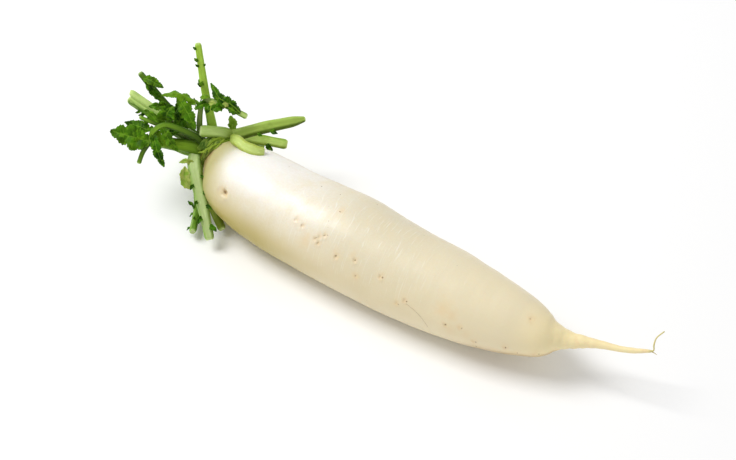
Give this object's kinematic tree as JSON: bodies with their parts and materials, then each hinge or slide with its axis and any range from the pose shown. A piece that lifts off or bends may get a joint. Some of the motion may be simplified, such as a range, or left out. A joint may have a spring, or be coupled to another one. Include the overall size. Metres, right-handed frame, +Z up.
{
  "type": "daikon radish",
  "caption": "Picked daikon radish lying on its side: long white root with a thin tail, a ribbed green crown, cut leaf stalks and young toothed leaves.",
  "frame": {"origin": "centre of the small flat spot that the root rests on, on the surface under the radish", "axes": "+X along the root from the crown to the tail, +Z up from the surface, +Y to the left of +X"},
  "size_m": [0.4629, 0.1085, 0.1227],
  "materials": {
    "root_skin": "smooth, moist, slightly waxy root skin, cream white",
    "crown": "fibrous, yellow-green with a brown collar",
    "stalk": "satin, juicy, pale green with fine ridges along it",
    "leaf": "matte dark green with paler veins"
  },
  "bodies": {
    "root": {"root": "root_skin", "crown": "crown", "stalk_stub": "stalk", "stalk_hooked": "stalk", "stalk_down_front": "stalk", "stalk_thick": "stalk", "stalk_long": "stalk", "stalk_tall": "stalk", "stalk_wide": "stalk", "stalk_down_back": "stalk", "stalk_down_side": "stalk", "stalk_far_low": "stalk", "stalk_far_left": "stalk", "stalk_far_right": "stalk", "stalk_short": "stalk", "leaf_arched": "leaf", "leaf_cluster": "leaf", "leaf_heart": "leaf", "leaf_upright": "leaf", "leaf_small": "leaf"}
  },
  "joints": []
}
